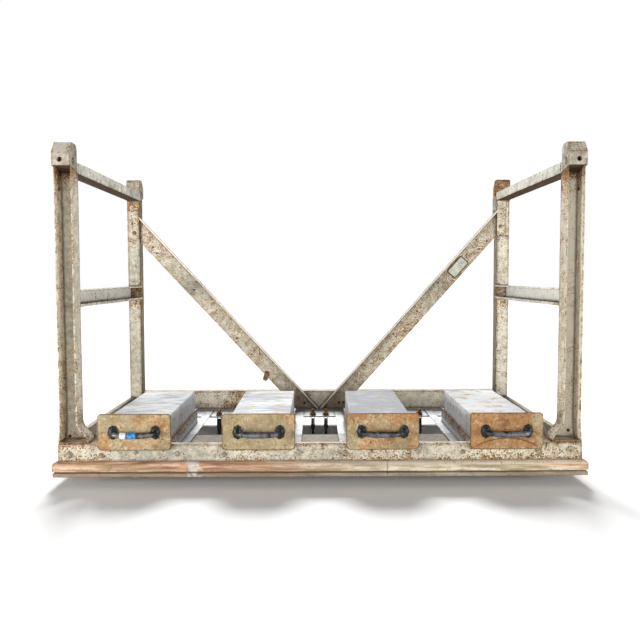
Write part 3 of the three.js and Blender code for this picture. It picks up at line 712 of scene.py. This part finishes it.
def swept(mesh, path, radii, sides=18):
    """Adds a round bar along path, with a radius at each of its points."""
    rings = []
    for i, spot in enumerate(path):
        along = path[min(i + 1, len(path) - 1)] - path[max(i - 1, 0)]
        turn = frame_along(along)
        ring = []
        for k in range(sides):
            angle = 2 * math.pi * k / sides
            offset = Vector((math.cos(angle), math.sin(angle), 0)) * radii[i]
            ring.append(mesh.verts.new(spot + turn.to_3x3() @ offset))
        rings.append(ring)
    for low, high in zip(rings, rings[1:]):
        for k in range(sides):
            after = (k + 1) % sides
            mesh.faces.new((low[k], low[after], high[after], high[k]))
    mesh.faces.new(rings[0][::-1])
    mesh.faces.new(rings[-1])


def smooth_path(points, steps):
    """A Catmull-Rom curve through points, with steps spans between each two."""
    padded = [2 * points[0] - points[1], *points, 2 * points[-1] - points[-2]]
    path = []
    for before, start, end, after in zip(padded, padded[1:], padded[2:], padded[3:]):
        for k in range(steps):
            t = k / steps
            path.append(0.5 * (2 * start + (end - before) * t + (2 * before - 5 * start + 4 * end - after) * t * t
                               + (3 * start - before - 3 * end + after) * t ** 3))
    return path + [points[-1]]


def plain_weather(piece, rust=0.0, tone=0.0, grime=0.0, edge=8.0):
    """Gives a small piece the same stored values that refined sheet metal has."""
    count = len(piece.data.vertices)
    for name, value in (("edge_mm", edge), ("nook_mm", edge), ("rust", rust), ("tone", tone), ("grime", grime)):
        store(piece.data, name, np.full(count, value))


def add_piece(name, mesh, body, finish, slot, **weather):
    bmesh.ops.recalc_face_normals(mesh, faces=mesh.faces)
    piece = show(name, mesh, body, finish)
    plain_weather(piece, **weather)
    return piece


# ---- Handles ----
ROSETTE = ((14.2, 0.0), (14.5, 1.4), (14.1, 2.8), (12.9, 3.7), (11.6, 3.5), (10.4, 3.4), (9.0, 4.2), (7.6, 5.6),
           (5.5, 7.2), (3.0, 8.2), (0.0, 8.6))
ROSETTE_TALL = 20 / 14.5  # height of a rosette over its width
SCREW = ((3.3, 0.0), (3.3, 0.7), (2.9, 1.5), (2.0, 2.1), (0.9, 2.3), (0.9, 1.3), (0.0, 1.2))
BOW = ((61, 3, 0), (58, 15, -0.8), (47, 25, -2.2), (24, 27.1, -3.4))  # across, out from the panel, up, in mm
BOW_MIDDLE = (0, 27.6, -3.8)
BAR_ENDS, BAR_SWELL = 6.0, 3.2  # radius of the bar at its ends, and what it gains at its middle


def handle_path(number):
    """The middle line of a handle's bar, the panel's face and the rosettes' centres."""
    low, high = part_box(f"box_{number}_panel")
    centre_x, face = (low.x + high.x) / 2, low.y - 0.0003
    rosette_z = low.z + 0.052
    mirrored = [(-u, reach, up) for u, reach, up in BOW]
    points = [Vector((centre_x + u * MM, face - reach * MM, rosette_z + up * MM))
              for u, reach, up in (*mirrored, BOW_MIDDLE, *BOW[::-1])]
    rosettes = [Vector((centre_x + side * BOW[0][0] * MM, face, rosette_z)) for side in (-1, 1)]
    return smooth_path(points, 8), rosettes


def bar_radius(share):
    return BAR_ENDS + BAR_SWELL * math.sin(math.pi * share) ** 1.5


def handle(number):
    """A cast bow: lobed oval rosettes and a bar that swells a little towards its middle."""
    node = f"box_{number}_handle"
    path, rosettes = handle_path(number)
    mesh = bmesh.new()
    count = len(path) - 1
    radii = [bar_radius(i / count) * MM for i in range(count + 1)]
    swept(mesh, path, radii)
    for spot in rosettes:
        profile = [(radius * MM, height * MM) for radius, height in ROSETTE]
        turned(mesh, profile, spot, (0, -1, 0), 64, 8, 0.035, (1, ROSETTE_TALL))
    for vertex in mesh.verts:
        vertex.co += noise.noise_vector(vertex.co * 90 + Vector((number, 0, 0))) * 0.0004
    piece = add_piece(f"{node}_cast", mesh, BODIES[node], "handle_iron", SLOTS[node])
    # Greyer towards the bar's outer side, stored as rust: handling wear and a painted highlight.
    along = np.array([vertex.co.y for vertex in piece.data.vertices])
    worn = np.clip((along.max() - along) / np.ptp(along), 0, 1) ** 2
    piece.data.attributes["rust"].data.foreach_set("value", worn.astype(np.float32))
    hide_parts(node)
    screws = bmesh.new()
    for spot in rosettes:
        for side in (-1, 1):
            profile = [(radius * MM, height * MM) for radius, height in SCREW]
            turned(screws, profile, spot + Vector((0, -0.0028, side * 0.0135)), (0, -1, 0), 20)
    add_piece(f"{node}_screws", screws, BODIES[node], "screw_iron", SLOTS[node])


def tape(name, number, start, end, finish, swell):
    """A band of tape round a handle's bar, between two places across it in mm."""
    path, rosettes = handle_path(number)
    middle_x = (rosettes[0].x + rosettes[1].x) / 2
    count = len(path) - 1
    chosen = [i for i, spot in enumerate(path) if start <= (spot.x - middle_x) / MM <= end]
    band = [path[i] for i in chosen]
    mesh = bmesh.new()
    radii = [(bar_radius(i / count) + swell + 0.2 * math.sin(i * 2.4)) * MM for i in chosen]
    swept(mesh, band, radii, 28)
    add_piece(name, mesh, BODIES[f"box_{number}_handle"], finish, "handle_iron")


for number in BOXES:
    handle(number)
tape("handle_tape_white", 1, -34, -14, "tape_white", 0.5)
tape("handle_tape_blue", 1, -15, 14, "tape_blue", 0.7)


# ---- Wheels, studs and nuts ----
TYRE = ((0.0, -5.6), (6.0, -5.6), (7.5, -5.2), (8.0, -4.0), (19.0, -3.6), (20.0, -4.8), (25.0, -5.0), (29.0, -4.9),
        (29.8, -4.2), (30.0, 0.0), (29.8, 4.2), (29.0, 4.9), (25.0, 5.0), (20.0, 4.8), (19.0, 3.6), (8.0, 4.0),
        (7.5, 5.2), (6.0, 5.6), (0.0, 5.6))
WHEEL_RADIUS = 30.0
STUD_TOP = 23.0
THREAD_PITCH = 1.5


def wheel(node):
    low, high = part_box(node)
    middle = Vector(((low.x + high.x) / 2, (low.y + high.y) / 2, WHEEL_RADIUS * MM))
    mesh = bmesh.new()
    turned(mesh, [(radius * MM, height * MM) for radius, height in TYRE], middle, (1, 0, 0), 64)
    bmesh.ops.dissolve_degenerate(mesh, edges=mesh.edges, dist=1e-7)
    piece = add_piece(f"{node}_round", mesh, BODIES[node], "castor_tyre", SLOTS[node])
    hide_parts(node)


def stud(node, trail):
    """A hexagon nut on a washer, and the threaded end of the castor's stem above it."""
    low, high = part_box(node)
    plate_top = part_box("castor_plate_rear")[1].z
    wheel_node = node.replace("fork", "wheel")
    wheel_low, wheel_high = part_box(wheel_node)
    place = Vector(((low.x + high.x) / 2, (wheel_low.y + wheel_high.y) / 2 - trail, plate_top + 0.0003))
    mesh = bmesh.new()
    turned(mesh, [(13.0 * MM, 0.0), (13.4 * MM, 0.6 * MM), (13.0 * MM, 1.6 * MM), (8.0 * MM, 1.7 * MM)],
           place, (0, 0, 1), 32)
    turned(mesh, [(10.3 * MM, 1.6 * MM), (10.6 * MM, 2.6 * MM), (10.6 * MM, 9.6 * MM), (9.6 * MM, 10.6 * MM),
                  (6.0 * MM, 10.7 * MM)], place, (0, 0, 1), 6)
    threads = []
    height = 10.5
    while height < STUD_TOP - 1:
        threads += [(5.4 * MM, height * MM), (6.0 * MM, (height + THREAD_PITCH / 2) * MM)]
        height += THREAD_PITCH
    threads += [(5.4 * MM, height * MM), (4.4 * MM, STUD_TOP * MM), (0.0, STUD_TOP * MM)]
    turned(mesh, threads, place, (0, 0, 1), 24)
    add_piece(f"{node}_nut", mesh, BODIES[node], "stud_rust", SLOTS[node])


for node in frame["nodes"]:
    if node.endswith("_wheel"):
        wheel(node)
    if node.endswith("_fork"):
        stud(node, 0.014 if node.startswith("front") else 0.0)


# ---- Fasteners and fittings of the frame ----
BOLT = ((7.6, 0.0), (7.8, 0.8), (7.4, 1.3), (6.4, 1.4), (6.2, 2.6), (5.2, 4.0), (3.4, 4.9), (1.6, 5.2), (0.0, 5.3))
RIVET = ((4.4, 0.0), (4.3, 0.8), (3.6, 1.8), (2.2, 2.5), (0.0, 2.8))
HEAD_HOLE_Z = 938
FRONT_BOLTS = ((-728, 92, 1.35), (-635, 89, 1.0), (-535, 98, 0.7), (-416, 95, 1.0), (-280, 92, 1.0), (-64, 98, 1.0),
               (70, 98, 1.0), (282, 98, 1.0), (413, 98, 1.0), (634, 98, 1.0), (725, 104, 1.3))
WEB_RIVETS = {"left": ((-744, 135, 1.1),), "right": ((717, 291, 1.0), (717, 261, 1.0), (738, 147, 1.1))}
FLANGE_RIVETS = (("left", -0.752, 0.035, 0.858, 1), ("right", 0.752, 0.045, 0.858, -1))
REAR_BOLTS = {"left": ((-733, 780, 1.2), (-741, 892, 0.6)), "right": ((723, 803, 1.0),)}
BRACE_RIVETS = {"left": ((-662, 725, 0.9), (-648, 701, 0.9), (-500, 555, 0.8), (-330, 360, 0.8), (-60, 95, 1.2)),
                "right": ((673, 746, 0.9), (643, 715, 0.9), (632, 752, 0.7), (480, 580, 0.8), (300, 375, 0.8),
                          (80, 96, 1.2), (100, 97, 1.2))}


def heads(name, profile, spots, depth, finish, slot, body="frame", **weather):
    """Round heads on a face square to Y: spots are (x, z, size) in mm."""
    mesh = bmesh.new()
    for x, z, size in spots:
        place = warped(Vector((x * MM, depth, z * MM)), WARP, 0.0)
        turned(mesh, [(radius * size * MM, height * size * MM) for radius, height in profile], place, (0, -1, 0), 24)
    add_piece(name, mesh, body, finish, slot, **weather)


def plate(name, outline_points, depth, thickness, finish, slot, bevel=0.0008, **weather):
    """A flat plate square to Y: an outline of (x, z) in metres, its back at depth."""
    mesh = bmesh.new()
    back = [mesh.verts.new(warped(Vector((x, depth, z)), WARP, 0.0)) for x, z in outline_points]
    face = mesh.faces.new(back)
    moved = bmesh.ops.extrude_face_region(mesh, geom=[face])["geom"]
    for item in moved:
        if isinstance(item, bmesh.types.BMVert):
            item.co.y -= thickness
    bmesh.ops.bevel(mesh, geom=mesh.edges[:], offset=bevel, segments=2, profile=0.5, affect="EDGES",
                    clamp_overlap=True)
    slice_grid(mesh, GRID)
    add_piece(name, mesh, "frame", finish, slot, **weather)


def rounded(centre, size, angle, radius, steps=4):
    """A rounded rectangle about centre, turned by angle, as (x, z) points."""
    points = []
    corners = ((1, 1, 0), (-1, 1, 1), (-1, -1, 2), (1, -1, 3))
    for across, up, quarter in corners:
        middle_u = across * (size[0] / 2 - radius)
        middle_v = up * (size[1] / 2 - radius)
        for k in range(steps + 1):
            turn = (quarter + k / steps) * math.pi / 2
            u, v = middle_u + radius * math.cos(turn), middle_v + radius * math.sin(turn)
            points.append((centre[0] + u * math.cos(angle) - v * math.sin(angle),
                           centre[1] + u * math.sin(angle) + v * math.cos(angle)))
    return points


def add_hole_shade(node, side):
    """Near-black discs set inside a head's front and side holes, as bolt ends: painted shade for the dark inside of
    the holes.
    """
    low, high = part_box(node)
    mesh = bmesh.new()
    face = low.y if "front" in node else high.y
    towards = -1 if "front" in node else 1
    spot = Vector(((low.x + high.x) / 2 + side * 0.002, face - towards * 0.013, HEAD_HOLE_Z * MM))
    turned(mesh, [(6.9 * MM, 0), (6.9 * MM, 1 * MM), (5.0 * MM, 1.6 * MM), (0, 1.2 * MM)], spot, (0, towards, 0), 24)
    inner_x = high.x if side < 0 else low.x
    spot = Vector((inner_x + side * 0.012, (low.y + high.y) / 2, HEAD_HOLE_Z * MM))
    turned(mesh, [(9.9 * MM, 0), (9.9 * MM, 1 * MM), (7.0 * MM, 1.6 * MM), (0, 1.2 * MM)], spot, (-side, 0, 0), 24)
    add_piece(f"{node}_hole_shade", mesh, "frame", "castor_tyre", "castor_steel")


for side, sign in SIDES:
    add_hole_shade(f"head_front_{side}", sign)
    add_hole_shade(f"head_rear_{side}", sign)

heads("front_member_bolts", BOLT, FRONT_BOLTS, FRONT, "bolt_paint", "frame_paint", rust=0.3)
REAR_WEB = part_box("post_rear_left")[0].y
BRACE_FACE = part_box("brace_left")[1].y - 0.004
for side, sign in SIDES:
    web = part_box(f"post_front_{side}")[1].y - 0.004
    heads(f"post_front_{side}_rivets", RIVET, WEB_RIVETS[side], web, "bolt_rust", "frame_paint")
    heads(f"post_rear_{side}_bolts", BOLT, REAR_BOLTS[side], REAR_WEB - (0.003 if side == "right" else 0.0),
          "bolt_paint", "frame_paint", rust=0.6)
    heads(f"brace_{side}_rivets", RIVET, BRACE_RIVETS[side], BRACE_FACE, "bolt_rust", "frame_paint")
for side, x, back, z, towards in FLANGE_RIVETS:
    mesh = bmesh.new()
    spot = warped(Vector((x, FRONT + back, z)), WARP, 0.0)
    turned(mesh, [(radius * 1.3 * MM, height * MM) for radius, height in RIVET], spot, (towards, 0, 0), 20)
    add_piece(f"post_front_{side}_flange_rivet", mesh, "frame", "bolt_rust", "frame_paint")

# The blank plate on the right brace, its raised rim and its two rivets.
brace_low, brace_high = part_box("brace_right")
BRACE_ANGLE = math.atan2(brace_high.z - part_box("castor_plate_rear")[1].z, brace_high.x)
PLATE_SPOT = (0.558, 0.643)
plate("brace_plate", rounded(PLATE_SPOT, (0.086, 0.046), BRACE_ANGLE, 0.005), BRACE_FACE - 0.0002, 0.0015,
      "bolt_paint", "frame_paint", 0.0005, edge=3.0, grime=0.6)
plate("brace_plate_field", rounded(PLATE_SPOT, (0.077, 0.037), BRACE_ANGLE, 0.004), BRACE_FACE - 0.0012, 0.0012,
      "plate_grey", "frame_paint", 0.0004)
ends = [(PLATE_SPOT[0] / MM + end * 39 * math.cos(BRACE_ANGLE), PLATE_SPOT[1] / MM + end * 39 * math.sin(BRACE_ANGLE), 0.5)
        for end in (-1, 1)]
heads("brace_plate_rivets", RIVET, ends, BRACE_FACE - 0.0015, "bolt_rust", "frame_paint")

# A doubler on the rear right post, a link plate above the right brace and a lug under the left one.
plate("post_rear_right_doubler_seam", rounded((0.7285, 0.8375), (0.0365, 0.146), 0, 0.003), REAR_WEB - 0.0001,
      0.001, "bolt_rust", "frame_paint", 0.0003)
plate("post_rear_right_doubler", rounded((0.7275, 0.839), (0.034, 0.142), 0, 0.003), REAR_WEB - 0.0002, 0.003,
      "frame_paint", "frame_paint", tone=0.6, rust=0.2, edge=6.0)
plate("brace_right_link", rounded((0.7045, 0.888), (0.016, 0.068), 0, 0.004), REAR_WEB + 0.018, 0.004,
      "rail_paint", "frame_paint", tone=-0.4, edge=6.0)
plate("brace_left_lug", rounded((-0.2135, 0.206), (0.020, 0.040), -0.3, 0.006), BRACE_FACE + 0.003, 0.004,
      "frame_paint", "frame_paint", rust=0.8, grime=0.4, edge=4.0)


# ---- Camera, light and floor ----
def add_camera():
    """The viewpoint: low, level with the middle of the load space, a little over two metres away."""
    data = bpy.data.cameras.new("camera")
    data.sensor_width = 36.0
    data.lens = 40.69
    data.clip_end = 100.0
    camera = bpy.data.objects.new("camera", data)
    turn = Matrix.Rotation(math.radians(-0.39), 4, "Z") @ Matrix.Rotation(math.radians(90 - 3.37), 4, "X")
    turn = turn @ Matrix.Rotation(math.radians(-0.15), 4, "Z")
    camera.matrix_world = Matrix.Translation((-0.0155, FRONT - 2.07, 0.603)) @ turn
    bpy.context.scene.collection.objects.link(camera)
    bpy.context.scene.camera = camera


def add_area(name, place, target, size, power, colour=(1, 1, 1)):
    data = bpy.data.lights.new(name, "AREA")
    data.shape = "DISK"
    data.size = size
    data.energy = power
    data.color = colour
    lamp = bpy.data.objects.new(name, data)
    lamp.location = place
    lamp.rotation_euler = (Vector(target) - Vector(place)).to_track_quat("-Z", "Y").to_euler()
    bpy.context.scene.collection.objects.link(lamp)


def add_floor():
    mesh = bmesh.new()
    bmesh.ops.create_grid(mesh, x_segments=8, y_segments=8, size=14.0)
    data = bpy.data.meshes.new("floor")
    mesh.to_mesh(data)
    mesh.free()
    data.materials.append(floor_finish())
    floor = bpy.data.objects.new("floor", data)
    bpy.context.scene.collection.objects.link(floor)


def add_sun():
    """A soft sun high behind the trolley, that throws its shadow forwards."""
    data = bpy.data.lights.new("sun", "SUN")
    data.energy = 5.1
    data.angle = math.radians(28)
    lamp = bpy.data.objects.new("sun", data)
    lamp.rotation_euler = Vector((-0.03, 0.78, 0.57)).to_track_quat("Z", "Y").to_euler()
    bpy.context.scene.collection.objects.link(lamp)


def add_world():
    """A white backdrop that lights the trolley at DOME of its own brightness."""
    world = bpy.data.worlds.new("world")
    world.use_nodes = True
    nodes, links = world.node_tree.nodes, world.node_tree.links
    seen = nodes.new("ShaderNodeLightPath")
    strength = nodes.new("ShaderNodeMapRange")
    strength.inputs["To Min"].default_value = DOME
    strength.inputs["To Max"].default_value = 1.0
    links.new(seen.outputs["Is Camera Ray"], strength.inputs["Value"])
    background = nodes["Background"]
    background.inputs["Color"].default_value = (1.0, 1.0, 1.0, 1.0)
    links.new(strength.outputs["Result"], background.inputs["Strength"])
    bpy.context.scene.world = world


add_camera()
add_world()
add_area("fill", (-0.3, -4.2, 0.6), (0, 0, 0.45), 1.1, 36)
add_area("side_left", (-2.8, -1.7, 0.35), (0.3, 0, 0.45), 0.7, 80)
add_area("side_right", (2.8, -1.7, 0.35), (-0.3, 0, 0.45), 0.7, 48)
add_sun()
add_floor()
bpy.context.scene.view_settings.view_transform = "Standard"
